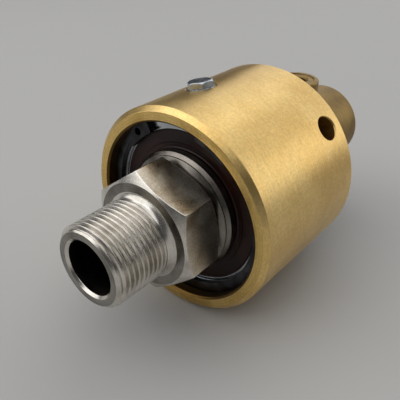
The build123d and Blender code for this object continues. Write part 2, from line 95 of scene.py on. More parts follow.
def gridMesh(name, points, closedRows):
    # points is rows x columns x 3; columns always close into a ring, rows only when closedRows is set
    rows, columns, _ = points.shape
    index = np.arange(rows * columns).reshape(rows, columns)
    nextColumn = np.roll(index, -1, axis=1)
    lower, upper = (index, np.roll(index, -1, axis=0)) if closedRows else (index[:-1], index[1:])
    lowerNext, upperNext = (nextColumn, np.roll(nextColumn, -1, axis=0)) if closedRows \
        else (nextColumn[:-1], nextColumn[1:])
    quads = np.stack([lower, lowerNext, upperNext, upper], axis=-1).reshape(-1, 4)
    mesh = bpy.data.meshes.new(name)
    mesh.from_pydata(points.reshape(-1, 3), [], quads.tolist())
    shell = bmesh.new()
    shell.from_mesh(mesh)
    bmesh.ops.remove_doubles(shell, verts=shell.verts, dist=1e-7)
    bmesh.ops.recalc_face_normals(shell, faces=shell.faces)
    shell.to_mesh(mesh)
    shell.free()
    mesh.polygons.foreach_set("use_smooth", np.ones(len(mesh.polygons), bool))
    mesh.update()
    return mesh


def ringAngles(columns):
    return np.arange(columns) * 2 * np.pi / columns


def aroundAxis(x, radius, angles):
    # a profile (x, radius) carried round the X axis: Y = -r sin(angle), Z = r cos(angle)
    x, radius = np.broadcast_arrays(x, radius)
    return np.stack([x, -radius * np.sin(angles), radius * np.cos(angles)], axis=-1)


def hexagonLimit(radius, angles, acrossFlats, cornerAngle, sharpness=300.0):
    # smooth smallest of the turned radius and the six flats: f * ((f/r)^p + sum cos(a - ak)^p)^(-1/p), with f
    # half the distance across flats, ak the middle of flat k and p the sharpness
    half = acrossFlats / 2
    total = (half / radius) ** sharpness
    for k in range(6):
        total = total + np.clip(np.cos(angles - np.radians(cornerAngle + 30 + 60 * k)), 0, 1) ** sharpness
    return half * total ** (-1 / sharpness)


def cornerAngles(columns, cornerAngle):
    # an even ring of angles with more of them beside each of the six corners
    beside = np.array([-0.9, -0.55, -0.3, -0.14, 0.14, 0.3, 0.55, 0.9])
    corners = cornerAngle + 60 * np.arange(6)[:, None]
    even = cornerAngle + np.arange(columns) * 360 / columns
    return np.radians(np.unique(np.round(np.concatenate([even, (corners + beside).ravel()]) % 360, 4)))


def placed(points, origin, axis, side):
    # points made round the X axis, set with their X along axis and their zero angle towards side, at origin
    axis, side = np.array(axis, float), np.array(side, float)
    third = np.cross(axis, side)
    return np.array(origin) + points[..., :1] * axis + points[..., 1:2] * third + points[..., 2:] * side


def newPiece(name, mesh, body, node):
    # a finished piece: linked, riding on its CAD body and standing for the node that it replaces, which is hidden
    piece = bpy.data.objects.new(name, mesh)
    bpy.context.scene.collection.objects.link(piece)
    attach(piece, body)
    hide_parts(node)
    return piece


def turnedNormals(mesh):
    # a face that looks along the radius belongs to a cylinder or cone round X: each of its corners takes the
    # exact normal (nx, s*ry, s*rz), with s = sqrt(1 - nx^2) and (ry, rz) the corner's direction from the axis
    mesh.set_sharp_from_angle(angle=np.radians(sharpAngle))
    corners = len(mesh.loops)
    normals = np.empty(corners * 3)
    mesh.corner_normals.foreach_get("vector", normals)
    normals = normals.reshape(-1, 3)
    places, owners = np.empty(len(mesh.vertices) * 3), np.empty(corners, int)
    mesh.vertices.foreach_get("co", places)
    mesh.loops.foreach_get("vertex_index", owners)
    sizes, faceNormals = np.empty(len(mesh.polygons), int), np.empty(len(mesh.polygons) * 3)
    mesh.polygons.foreach_get("loop_total", sizes)
    mesh.polygons.foreach_get("normal", faceNormals)
    faceNormals = np.repeat(faceNormals.reshape(-1, 3), sizes, axis=0)
    outward = places.reshape(-1, 3)[owners, 1:]
    outward = outward / np.maximum(np.linalg.norm(outward, axis=1, keepdims=True), 1e-9)
    slope = np.linalg.norm(faceNormals[:, 1:], axis=1, keepdims=True)
    along = np.sum(outward * faceNormals[:, 1:], axis=1, keepdims=True)
    exact = np.hstack([faceNormals[:, :1], outward * slope * np.sign(along)])
    normals = np.where((slope > 0.05) & (np.abs(along) > 0.995 * slope), exact, normals)
    mesh.normals_split_custom_set(normals.tolist())


def softenedCopy(name, node, body, width, keepSharp=(0.0, 0.0)):
    # the CAD node's triangles merged into one skin, its sharp edges rounded by a two-step bevel; edges whose
    # middle lies between the two keepSharp stations stay as drilled
    mesh = cadNodes[node].data.copy()
    mesh.name = name
    shell = bmesh.new()
    shell.from_mesh(mesh)
    bmesh.ops.remove_doubles(shell, verts=shell.verts, dist=2e-6)
    bmesh.ops.dissolve_limit(shell, angle_limit=np.radians(0.4), verts=shell.verts, edges=shell.edges)
    sharp = [edge for edge in shell.edges if edge.calc_face_angle(0) > np.radians(sharpAngle)
             and not keepSharp[0] < (edge.verts[0].co.x + edge.verts[1].co.x) / 2 < keepSharp[1]]
    bmesh.ops.bevel(shell, geom=sharp, offset=width, offset_type="OFFSET", segments=2, profile=0.5,
                    affect="EDGES", clamp_overlap=False)
    shell.to_mesh(mesh)
    shell.free()
    mesh.polygons.foreach_set("use_smooth", np.ones(len(mesh.polygons), bool))
    turnedNormals(mesh)
    return newPiece(name, mesh, body, node)


def paintByPlace(piece, materials, choose):
    # choose(centres, normals) gives each face the number of its material
    mesh = piece.data
    count = len(mesh.polygons)
    centres, normals = np.empty(count * 3), np.empty(count * 3)
    mesh.polygons.foreach_get("center", centres)
    mesh.polygons.foreach_get("normal", normals)
    mesh.materials.clear()
    for material in materials:
        mesh.materials.append(material)
    chosen = choose(centres.reshape(-1, 3), normals.reshape(-1, 3))
    mesh.polygons.foreach_set("material_index", chosen.astype(np.int32))


def linearColor(hexCode):
    # sRGB hex to linear RGBA
    srgb = np.array([int(hexCode[i:i + 2], 16) / 255 for i in (1, 3, 5)])
    linear = np.where(srgb <= 0.04045, srgb / 12.92, ((srgb + 0.055) / 1.055) ** 2.4)
    return (*linear, 1.0)


def addNode(tree, kind, sockets=None, stops=None, **settings):
    # one shader node: settings go on the node, sockets maps an input to a value or to another node's output
    node = tree.nodes.new(kind)
    for name, value in settings.items():
        setattr(node, name, value)
    for name, value in (sockets or {}).items():
        if isinstance(value, bpy.types.NodeSocket):
            tree.links.new(value, node.inputs[name])
        else:
            node.inputs[name].default_value = value
    if stops:
        ramp = node.color_ramp
        ramp.elements[0].position, ramp.elements[0].color = stops[0]
        ramp.elements[1].position, ramp.elements[1].color = stops[-1]
        for position, color in stops[1:-1]:
            ramp.elements.new(position).color = color
    return node


def newFinish(name):
    # an empty material with its Principled surface and Object coordinates
    finish = bpy.data.materials.new(name)
    finish.use_nodes = True
    tree = finish.node_tree
    tree.nodes.clear()
    surface = addNode(tree, "ShaderNodeBsdfPrincipled")
    output = addNode(tree, "ShaderNodeOutputMaterial")
    tree.links.new(surface.outputs["BSDF"], output.inputs["Surface"])
    place = addNode(tree, "ShaderNodeTexCoord").outputs["Object"]
    return finish, tree, surface, place


def wornMetal(name, settings):
    # machined metal: tool-mark lines or facing rings, fine grain and slow tarnish patches. Lines and grain move
    # colour and height, patches move colour and roughness. Marks are drawn at 0.3 mm or more, coarser than a
    # real fine cut, which would be too small to see
    finish, tree, surface, place = newFinish(name)
    surface.inputs["Metallic"].default_value = 1.0
    if "ringSize" in settings:
        wavePeriod = 0.314  # spacing of the wave texture's rings at scale 1
        lines = addNode(tree, "ShaderNodeTexWave", {
            "Vector": place, "Scale": wavePeriod / settings["ringSize"], "Distortion": 3.0, "Detail": 3.0,
            "Detail Scale": 1.5}, wave_type="RINGS", rings_direction="X")
    else:
        grooves = addNode(tree, "ShaderNodeMapping", {
            "Vector": place, "Scale": tuple(1 / size for size in settings["lineSize"])})
        lines = addNode(tree, "ShaderNodeTexNoise", {
            "Vector": grooves.outputs["Vector"], "Scale": 1.0, "Detail": 3.0, "Roughness": 0.6})
    grain = addNode(tree, "ShaderNodeTexNoise", {
        "Vector": place, "Scale": 1 / settings["grainSize"], "Detail": 3.0, "Roughness": 0.65})
    patches = addNode(tree, "ShaderNodeTexNoise", {
        "Vector": place, "Scale": 1 / settings["patchSize"], "Detail": 4.0, "Roughness": 0.55, "Distortion": 0.4})
    body = addNode(tree, "ShaderNodeValToRGB", {"Fac": patches.outputs["Fac"]}, stops=[
        (0.34, linearColor(settings["shade"])), (0.5, linearColor(settings["color"])),
        (0.68, linearColor(settings["light"]))])
    grainTone = addNode(tree, "ShaderNodeMapRange", {
        "Value": grain.outputs["Fac"], "From Min": 0.3, "From Max": 0.7,
        "To Min": 1 - settings["grainTone"], "To Max": 1 + settings["grainTone"]})
    lineTone = addNode(tree, "ShaderNodeMapRange", {
        "Value": lines.outputs["Fac"], "From Min": 0.3, "From Max": 0.7,
        "To Min": 1 - settings["lineTone"], "To Max": 1 + settings["lineTone"]})
    tone = addNode(tree, "ShaderNodeMath", {0: grainTone.outputs["Result"], 1: lineTone.outputs["Result"]},
                   operation="MULTIPLY")
    shaded = addNode(tree, "ShaderNodeVectorMath", {0: body.outputs["Color"]}, operation="SCALE")
    tree.links.new(tone.outputs["Value"], shaded.inputs["Scale"])
    tree.links.new(shaded.outputs["Vector"], surface.inputs["Base Color"])
    rough = addNode(tree, "ShaderNodeMapRange", {
        "Value": patches.outputs["Fac"], "From Min": 0.3, "From Max": 0.7,
        "To Min": settings["roughness"] - settings["roughSpread"],
        "To Max": settings["roughness"] + settings["roughSpread"]})
    tree.links.new(rough.outputs["Result"], surface.inputs["Roughness"])
    height = addNode(tree, "ShaderNodeMath", {
        0: lines.outputs["Fac"], 1: settings["lineHeight"] / settings["grainHeight"], 2: grain.outputs["Fac"]},
        operation="MULTIPLY_ADD")
    bump = addNode(tree, "ShaderNodeBump", {
        "Height": height.outputs["Value"], "Strength": 1.0, "Distance": settings["grainHeight"]})
    tree.links.new(bump.outputs["Normal"], surface.inputs["Normal"])
    return finish


# CuZn39Pb3 bar turned on a lathe and left bare: a satin yellow metal with fine rings and a sandy grain
turnedBrass = wornMetal("turnedBrass", {
    "color": "#E4C27D", "light": "#ECCC89", "shade": "#D9B46E", "roughness": 0.36, "roughSpread": 0.05,
    "lineSize": (0.5 * mm, 5 * mm, 5 * mm), "lineTone": 0.08, "lineHeight": 0.006 * mm,
    "grainSize": 0.8 * mm, "grainTone": 0.12, "grainHeight": 0.012 * mm, "patchSize": 20 * mm})

# the faced front of the same bar: duller, with concentric cutter rings
facedBrass = wornMetal("facedBrass", {
    "color": "#DDBB72", "light": "#E6C67E", "shade": "#C9A55E", "roughness": 0.38, "roughSpread": 0.06,
    "ringSize": 0.9 * mm, "lineTone": 0.04, "lineHeight": 0.003 * mm,
    "grainSize": 0.7 * mm, "grainTone": 0.12, "grainHeight": 0.016 * mm, "patchSize": 12 * mm})

# the bored inside of the barrel: its dark brown is painted shade of the recess
boredBrass = wornMetal("boredBrass", {
    "color": "#6B5128", "light": "#7C6033", "shade": "#4E3A1C", "roughness": 0.42, "roughSpread": 0.06,
    "lineSize": (0.4 * mm, 9 * mm, 9 * mm), "lineTone": 0.10, "lineHeight": 0.008 * mm,
    "grainSize": 0.8 * mm, "grainTone": 0.08, "grainHeight": 0.008 * mm, "patchSize": 14 * mm})

# the end cap: brass casting machined all over, duller than the barrel; its darker brown is painted shade, as the
# cap sits in the housing's shadow
castBrass = wornMetal("castBrass", {
    "color": "#8E7545", "light": "#A28852", "shade": "#735D38", "roughness": 0.46, "roughSpread": 0.07,
    "lineSize": (0.6 * mm, 10 * mm, 10 * mm), "lineTone": 0.07, "lineHeight": 0.006 * mm,
    "grainSize": 1.1 * mm, "grainTone": 0.10, "grainHeight": 0.02 * mm, "patchSize": 16 * mm})

# stainless bar, turned: warm grey with close tool rings
turnedStainless = wornMetal("turnedStainless", {
    "color": "#D3CEC5", "light": "#E3DFD7", "shade": "#B5AFA5", "roughness": 0.24, "roughSpread": 0.05,
    "lineSize": (0.35 * mm, 9 * mm, 9 * mm), "lineTone": 0.08, "lineHeight": 0.006 * mm,
    "grainSize": 0.8 * mm, "grainTone": 0.06, "grainHeight": 0.006 * mm, "patchSize": 11 * mm})

# the end and shoulder of the same bar, faced across, with concentric cutter rings; its greyer colour is painted
# shade, standing for the dim floor these forward faces reflect
facedStainless = wornMetal("facedStainless", {
    "color": "#8E8A83", "light": "#9E9A92", "shade": "#77736C", "roughness": 0.32, "roughSpread": 0.06,
    "ringSize": 0.7 * mm, "lineTone": 0.07, "lineHeight": 0.004 * mm,
    "grainSize": 0.8 * mm, "grainTone": 0.08, "grainHeight": 0.008 * mm, "patchSize": 8 * mm})

# the collar beside the seal: the same bar; its darker colour is painted shade, standing for the dim floor it
# reflects
dulledStainless = wornMetal("dulledStainless", {
    "color": "#7F7972", "light": "#928C84", "shade": "#68635C", "roughness": 0.30, "roughSpread": 0.06,
    "lineSize": (0.35 * mm, 9 * mm, 9 * mm), "lineTone": 0.10, "lineHeight": 0.006 * mm,
    "grainSize": 0.8 * mm, "grainTone": 0.08, "grainHeight": 0.006 * mm, "patchSize": 9 * mm})

# the bar's drawn hexagon flats: a granular satin skin with a brown heat tint
drawnStainless = wornMetal("drawnStainless", {
    "color": "#D6CFC2", "light": "#E4DED2", "shade": "#B9AE9C", "roughness": 0.33, "roughSpread": 0.07,
    "lineSize": (3 * mm, 0.8 * mm, 0.8 * mm), "lineTone": 0.05, "lineHeight": 0.004 * mm,
    "grainSize": 0.55 * mm, "grainTone": 0.22, "grainHeight": 0.024 * mm, "patchSize": 9 * mm})

# drilled bore of the rotor: dark, unpolished and out of the light
drilledBore = wornMetal("drilledBore", {
    "color": "#2A2724", "light": "#35312D", "shade": "#1C1A18", "roughness": 0.55, "roughSpread": 0.08,
    "lineSize": (0.5 * mm, 6 * mm, 6 * mm), "lineTone": 0.15, "lineHeight": 0.01 * mm,
    "grainSize": 0.8 * mm, "grainTone": 0.1, "grainHeight": 0.01 * mm, "patchSize": 8 * mm})

# spring steel, phosphated: near-black grey with a dull shine on the stamped edges
phosphatedSteel = wornMetal("phosphatedSteel", {
    "color": "#3E3E41", "light": "#515256", "shade": "#2C2C2E", "roughness": 0.40, "roughSpread": 0.07,
    "lineSize": (4 * mm, 4 * mm, 4 * mm), "lineTone": 0.05, "lineHeight": 0.003 * mm,
    "grainSize": 0.5 * mm, "grainTone": 0.1, "grainHeight": 0.008 * mm, "patchSize": 7 * mm})

# ground bearing steel: bright, faint blue
groundSteel = wornMetal("groundSteel", {
    "color": "#B9BBBE", "light": "#CCCED0", "shade": "#A0A2A6", "roughness": 0.2, "roughSpread": 0.04,
    "lineSize": (0.3 * mm, 8 * mm, 8 * mm), "lineTone": 0.04, "lineHeight": 0.002 * mm,
    "grainSize": 0.6 * mm, "grainTone": 0.03, "grainHeight": 0.002 * mm, "patchSize": 9 * mm})

# polished balls: near mirror
polishedSteel = wornMetal("polishedSteel", {
    "color": "#C4C6C8", "light": "#D2D4D6", "shade": "#B4B6B8", "roughness": 0.09, "roughSpread": 0.02,
    "lineSize": (3 * mm, 3 * mm, 3 * mm), "lineTone": 0.02, "lineHeight": 0.001 * mm,
    "grainSize": 0.8 * mm, "grainTone": 0.02, "grainHeight": 0.001 * mm, "patchSize": 5 * mm})

# zinc plating on the filler screw: bluish, slightly cloudy
zincPlate = wornMetal("zincPlate", {
    "color": "#B4BCC2", "light": "#CBD2D6", "shade": "#949CA3", "roughness": 0.30, "roughSpread": 0.07,
    "lineSize": (1.5 * mm, 1.5 * mm, 1.5 * mm), "lineTone": 0.05, "lineHeight": 0.004 * mm,
    "grainSize": 0.5 * mm, "grainTone": 0.08, "grainHeight": 0.006 * mm, "patchSize": 4 * mm})

# black-oxide screws
blackSteel = wornMetal("blackSteel", {
    "color": "#343335", "light": "#444346", "shade": "#252426", "roughness": 0.38, "roughSpread": 0.06,
    "lineSize": (1.2 * mm, 1.2 * mm, 1.2 * mm), "lineTone": 0.05, "lineHeight": 0.003 * mm,
    "grainSize": 0.5 * mm, "grainTone": 0.1, "grainHeight": 0.006 * mm, "patchSize": 5 * mm})

# drawn spring wire
springWire = wornMetal("springWire", {
    "color": "#8E9195", "light": "#A5A8AB", "shade": "#74777A", "roughness": 0.25, "roughSpread": 0.05,
    "lineSize": (2 * mm, 2 * mm, 2 * mm), "lineTone": 0.05, "lineHeight": 0.003 * mm,
    "grainSize": 0.6 * mm, "grainTone": 0.05, "grainHeight": 0.003 * mm, "patchSize": 6 * mm})


def mouldedFinish(name, settings):
    # rubber, plastic, ceramic or carbon: one body colour with cloudy variation and fine grain
    finish, tree, surface, place = newFinish(name)
    roughSpread = 0.06
    grain = addNode(tree, "ShaderNodeTexNoise", {
        "Vector": place, "Scale": 1 / settings["grainSize"], "Detail": 3.0, "Roughness": 0.6})
    patches = addNode(tree, "ShaderNodeTexNoise", {
        "Vector": place, "Scale": 1 / settings["patchSize"], "Detail": 3.0, "Roughness": 0.55})
    body = addNode(tree, "ShaderNodeValToRGB", {"Fac": patches.outputs["Fac"]}, stops=[
        (0.35, linearColor(settings["shade"])), (0.65, linearColor(settings["color"]))])
    tree.links.new(body.outputs["Color"], surface.inputs["Base Color"])
    surface.inputs["IOR"].default_value = settings["ior"]
    rough = addNode(tree, "ShaderNodeMapRange", {
        "Value": grain.outputs["Fac"], "From Min": 0.3, "From Max": 0.7,
        "To Min": settings["roughness"] - roughSpread, "To Max": settings["roughness"] + roughSpread})
    tree.links.new(rough.outputs["Result"], surface.inputs["Roughness"])
    bump = addNode(tree, "ShaderNodeBump", {
        "Height": grain.outputs["Fac"], "Strength": 1.0, "Distance": settings["grainHeight"]})
    tree.links.new(bump.outputs["Normal"], surface.inputs["Normal"])
    return finish


# nitrile seal moulded on a steel insert: brown-black, satin where grease has wetted it
sealRubber = mouldedFinish("sealRubber", {
    "color": "#2C120B", "shade": "#1A0A06", "ior": 1.35, "roughness": 0.40,
    "grainSize": 0.5 * mm, "grainHeight": 0.006 * mm, "patchSize": 7 * mm})
oRingRubber = mouldedFinish("oRingRubber", {
    "color": "#1B1A1A", "shade": "#121111", "ior": 1.52, "roughness": 0.45,
    "grainSize": 0.3 * mm, "grainHeight": 0.004 * mm, "patchSize": 5 * mm})
cagePlastic = mouldedFinish("cagePlastic", {
    "color": "#C9BFA4", "shade": "#B3A88B", "ior": 1.53, "roughness": 0.45,
    "grainSize": 0.5 * mm, "grainHeight": 0.006 * mm, "patchSize": 6 * mm})
hardCeramic = mouldedFinish("hardCeramic", {
    "color": "#3B3D40", "shade": "#303235", "ior": 2.2, "roughness": 0.15,
    "grainSize": 0.3 * mm, "grainHeight": 0.001 * mm, "patchSize": 6 * mm})
carbonGraphite = mouldedFinish("carbonGraphite", {
    "color": "#2B2B2D", "shade": "#1E1E20", "ior": 1.9, "roughness": 0.4,
    "grainSize": 0.3 * mm, "grainHeight": 0.004 * mm, "patchSize": 5 * mm})

finishes = {
    "turned_brass": turnedBrass, "cast_brass": castBrass, "plug_brass": castBrass,
    "stainless_steel": turnedStainless, "phosphated_spring_steel": phosphatedSteel,
    "bearing_steel": groundSteel, "polished_ball_steel": polishedSteel, "cage_polyamide": cagePlastic,
    "seal_rubber": sealRubber, "spacer_steel": groundSteel, "hard_seal_ceramic": hardCeramic,
    "carbon_graphite": carbonGraphite, "o_ring_rubber": oRingRubber, "spring_wire": springWire,
    "pin_steel": groundSteel, "black_screw_steel": blackSteel, "zinc_plated_steel": zincPlate,
}
for node, slot in slots.items():
    mesh = cadNodes[node].data
    mesh.materials.clear()
    mesh.materials.append(finishes[slot])
print("finishes:", len(finishes), "slots")

shoulder = next(mount for mount in frame["record"]["mounts"] if mount["name"] == "rotor_shoulder")
rotorLow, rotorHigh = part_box("rotor")
rotorSettings = {
    "shoulder": shoulder["pos_m"][0], "front": rotorLow.x, "rear": rotorHigh.x,
    "bore": 8.8 * mm, "mouthChamfer": 0.8 * mm,
    "threadRadius": 13.22 * mm, "threadPitch": 1.814 * mm, "leadChamfer": 1.5 * mm,
    "neckLength": 2.4 * mm, "neckRadius": 12.3 * mm, "flareRadius": 14.3 * mm,
    "acrossFlats": 36 * mm, "cornerAngle": 52.5, "hexLength": 15.1 * mm,
    "hexFrontRadius": 17.3 * mm, "hexRearRadius": 17.5 * mm, "cornerRadius": 20.785 * mm,
    "frontSlope": 28.0, "rearSlope": 29.0,
    "valleyRadius": 16.9 * mm, "valleyLength": 0.25 * mm, "collarCone": 1.3 * mm,
    "coneRadius": 19.6 * mm, "lineWidth": 0.35 * mm, "lineDepth": 0.3 * mm,
    "collarRadius": 20.7 * mm, "collarRear": -95.6 * mm, "collarGap": 0.35 * mm,
    "journalRadius": 17.5 * mm, "journalLength": 32 * mm,
    "ringGrooveRadius": 16.5 * mm, "ringGrooveWidth": 1.65 * mm, "tailRadius": 17.3 * mm,
    "sealSeatRadius": 12.6 * mm, "sealSeatDepth": 5.5 * mm,
}


def threadRadius(x, angles, settings):
    # 55 degree thread: pitch line plus a triangle wave of x - pitch * turns, cut flat at crest and root; the cut
    # corners are eased by averaging three neighbours. The factors are the form's full and cut height per pitch
    pitch = settings["threadPitch"]
    sharpHeight = 0.960491 * pitch
    depth = 0.640327 * pitch
    radius = 0
    for shift, weight in ((-0.035, 0.25), (0.0, 0.5), (0.035, 0.25)):
        phase = (x / pitch - angles / (2 * np.pi) + shift) % 1.0
        wave = (2 * np.abs(2 * phase - 1) - 1) * sharpHeight / 2
        radius = radius + weight * np.clip(wave, -depth / 2, depth / 2)
    return settings["threadRadius"] - depth / 2 + radius


def makeThreadedNose(settings):
    # a turned profile; on the threaded stretch the radius is the smaller of thread and profile
    front = settings["front"]
    seam = settings["shoulder"] - settings["neckLength"]
    runOut = settings["threadRadius"] - settings["neckRadius"]
    outerX = np.arange(front + 0.05 * mm, seam - 0.02 * mm, settings["threadPitch"] / 22)
    outerR = np.interp(outerX, [front, front + settings["leadChamfer"], seam - runOut, seam],
                       [settings["threadRadius"] - settings["leadChamfer"], settings["threadRadius"],
                        settings["threadRadius"], settings["neckRadius"]])
    innerX, innerR = roundedPath([
        (seam, settings["neckRadius"], 0), (seam, settings["bore"], 0),
        (front + settings["mouthChamfer"], settings["bore"], 0.15 * mm),
        (front, settings["bore"] + settings["mouthChamfer"], 0.12 * mm),
        (front, settings["threadRadius"] - settings["leadChamfer"], 0)], closed=False)
    angles = ringAngles(200)
    threaded = np.minimum(outerR[:, None], threadRadius(outerX[:, None] - front, angles, settings))
    radius = np.vstack([threaded, np.broadcast_to(innerR, (len(innerR), len(angles)))])
    x = np.vstack([outerX[:, None], innerX])
    nose = newPiece("threadedNose", gridMesh("threadedNose", aroundAxis(x, radius, angles), True),
                    "turning_rotor", "rotor")
    inBore = settings["bore"] + 0.02 * mm
    # forward faces take the greyer faced finish: painted shade for the dim floor they reflect
    paintByPlace(nose, [turnedStainless, drilledBore, facedStainless], lambda centre, normal: np.where(
        np.hypot(centre[:, 1], centre[:, 2]) < inBore, 1, np.where(normal[:, 0] < -0.97, 2, 0)))


def makeRotorBody(settings):
    # neck, hexagon, collar, journal and tail on one turned profile; the neck is the curve
    # (1-u)^2 A + 2u(1-u) C + u^2 B up to the shoulder, and the hexagon rows are cut by six flats
    s = settings
    shoulderX, seam = s["shoulder"], s["shoulder"] - s["neckLength"]
    hexRear = shoulderX + s["hexLength"]
    coneFront = hexRear + s["valleyLength"]
    coneRear = coneFront + s["collarCone"]
    collarRear = s["collarRear"]
    journalRear = collarRear + s["journalLength"]
    frontCone = (s["cornerRadius"] - s["hexFrontRadius"]) * np.tan(np.radians(s["frontSlope"]))
    rearCone = (s["cornerRadius"] - s["hexRearRadius"]) * np.tan(np.radians(s["rearSlope"]))
    u = np.linspace(0, 1, 14)[:, None]
    neckX = np.vstack([[[seam], [seam]], (1 - u) ** 2 * (seam + 0.3 * mm)
                       + 2 * u * (1 - u) * (shoulderX - 0.9 * mm) + u ** 2 * shoulderX,
                       np.full((4, 1), shoulderX)])
    neckR = np.vstack([[[s["bore"]], [s["neckRadius"]]], (1 - u ** 2) * s["neckRadius"]
                       + u ** 2 * s["flareRadius"], [[s["flareRadius"] + 0.05 * mm], [s["flareRadius"] + 0.3 * mm],
                       [s["hexFrontRadius"] - 0.3 * mm], [s["hexFrontRadius"] - 0.05 * mm]]])
    hexX = np.concatenate([[shoulderX], np.linspace(shoulderX + 0.02 * mm, shoulderX + frontCone, 26),
                           np.linspace(shoulderX + frontCone, hexRear - rearCone, 8)[1:-1],
                           np.linspace(hexRear - rearCone, hexRear - 0.03 * mm, 30)])[:, None]
    hexR = np.interp(hexX, [shoulderX, shoulderX + frontCone, hexRear - rearCone, hexRear],
                     [s["hexFrontRadius"], s["cornerRadius"], s["cornerRadius"], s["hexRearRadius"]])
    rearX, rearR = roundedPath([
        (hexRear, s["hexRearRadius"], 0), (hexRear, s["valleyRadius"], 0.1 * mm),
        (coneFront, s["valleyRadius"], 0.1 * mm), (coneRear, s["coneRadius"], 0.06 * mm),
        (coneRear + 0.04 * mm, s["coneRadius"] - s["lineDepth"], 0.05 * mm),
        (coneRear + s["lineWidth"], s["coneRadius"] - s["lineDepth"], 0.05 * mm),
        (coneRear + s["lineWidth"] + 0.04 * mm, s["coneRadius"] + 0.05 * mm, 0.06 * mm),
        (coneRear + s["lineWidth"] + s["collarRadius"] - s["coneRadius"], s["collarRadius"], 0.15 * mm),
        (collarRear - s["collarGap"], s["collarRadius"], 0.15 * mm),
        (collarRear - s["collarGap"], s["journalRadius"] + 1.2 * mm, 0.1 * mm),
        (collarRear, s["journalRadius"] + 1.2 * mm, 0.1 * mm), (collarRear, s["journalRadius"], 0.1 * mm),
        (journalRear, s["journalRadius"], 0.1 * mm), (journalRear, s["ringGrooveRadius"], 0.1 * mm),
        (journalRear + s["ringGrooveWidth"], s["ringGrooveRadius"], 0.1 * mm),
        (journalRear + s["ringGrooveWidth"], s["tailRadius"], 0.1 * mm),
        (s["rear"], s["tailRadius"], 0.3 * mm), (s["rear"], s["sealSeatRadius"], 0.2 * mm),
        (s["rear"] - s["sealSeatDepth"], s["sealSeatRadius"], 0.2 * mm),
        (s["rear"] - s["sealSeatDepth"], s["bore"], 0)], closed=False)
    angles = cornerAngles(288, s["cornerAngle"])
    rings = len(angles)
    radius = np.vstack([np.broadcast_to(neckR, (len(neckR), rings)),
                        hexagonLimit(hexR, angles, s["acrossFlats"], s["cornerAngle"]),
                        np.broadcast_to(rearR, (len(rearR), rings))])
    x = np.vstack([neckX, hexX, rearX])
    body = newPiece("rotorBody", gridMesh("rotorBody", aroundAxis(x, radius, angles), True),
                    "turning_rotor", "rotor")
    flatAngles = np.radians(s["cornerAngle"] + 30 + 60 * np.arange(6))
    flatNormals = np.stack([0 * flatAngles, -np.sin(flatAngles), np.cos(flatAngles)])

    def finishOf(centre, normal):
        onFlat = np.max(normal @ flatNormals, axis=1) > 0.995
        inHexagon = (centre[:, 0] > shoulderX) & (centre[:, 0] < hexRear)
        inBore = np.hypot(centre[:, 1], centre[:, 2]) < s["bore"] + 0.02 * mm
        # everything behind the hexagon takes the darker collar finish: painted shade for the dim floor it reflects
        behind = centre[:, 0] > hexRear
        # forward faces take the greyer faced finish: painted shade for the dim floor they reflect
        faced = normal[:, 0] < -0.97
        return np.select([inBore, onFlat & inHexagon, behind, faced], [2, 1, 3, 4], 0)

    paintByPlace(body, [turnedStainless, drawnStainless, drilledBore, dulledStainless, facedStainless], finishOf)


makeThreadedNose(rotorSettings)
makeRotorBody(rotorSettings)
print("rotor: threaded nose and hexagon body")

housingSettings = {
    "edge": 0.14 * mm, "front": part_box("housing")[0].x, "boreRadius": 31.8 * mm,
    "ventStretch": (-61 * mm, -51 * mm),
}
housing = softenedCopy("housingBarrel", "housing", "stationary_housing", housingSettings["edge"],
                       keepSharp=housingSettings["ventStretch"])


def housingFinish(centre, normal):
    radial = np.hypot(centre[:, 1], centre[:, 2])
    outward = (centre[:, 1] * normal[:, 1] + centre[:, 2] * normal[:, 2]) / np.maximum(radial, 1e-9)
    face = (normal[:, 0] < -0.9) & (centre[:, 0] < housingSettings["front"] + 0.5 * mm)
    # faces looking in at the bore take the dark bore finish: painted shade inside the bore
    bored = (outward < -0.3) & (radial < housingSettings["boreRadius"] + 1.5 * mm)
    return np.select([face, bored], [1, 2], 0)


paintByPlace(housing, [turnedBrass, facedBrass, boredBrass], housingFinish)
capSettings = {"edge": 0.16 * mm, "rear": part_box("end_cap")[1].x, "machinedLand": 3.2 * mm}
endCap = softenedCopy("endCap", "end_cap", "stationary_housing", capSettings["edge"])
# the cap's rear band takes the lighter faced brass: a painted highlight where the rim catches the light
paintByPlace(endCap, [castBrass, facedBrass], lambda centre, normal: np.where(
    centre[:, 0] > capSettings["rear"] - capSettings["machinedLand"], 1, 0))
circlipSettings = {"edge": 0.14 * mm}
softenedCopy("boreCirclip", "bore_circlip", "stationary_housing", circlipSettings["edge"])
print("housing: barrel, end cap and circlip")

plugLow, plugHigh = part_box("filler_plug")
fillerSettings = {
    "place": (plugLow.x + plugHigh.x) / 2, "angle": -10.6, "spotface": 35.55 * mm, "acrossFlats": 8 * mm,
    "turn": 12.0, "height": 2.6 * mm, "topRadius": 3.75 * mm, "thread": 2.5 * mm, "tip": 4.25 * mm,
    "washerRadius": 4.85 * mm, "washerHeight": 0.45 * mm,
}


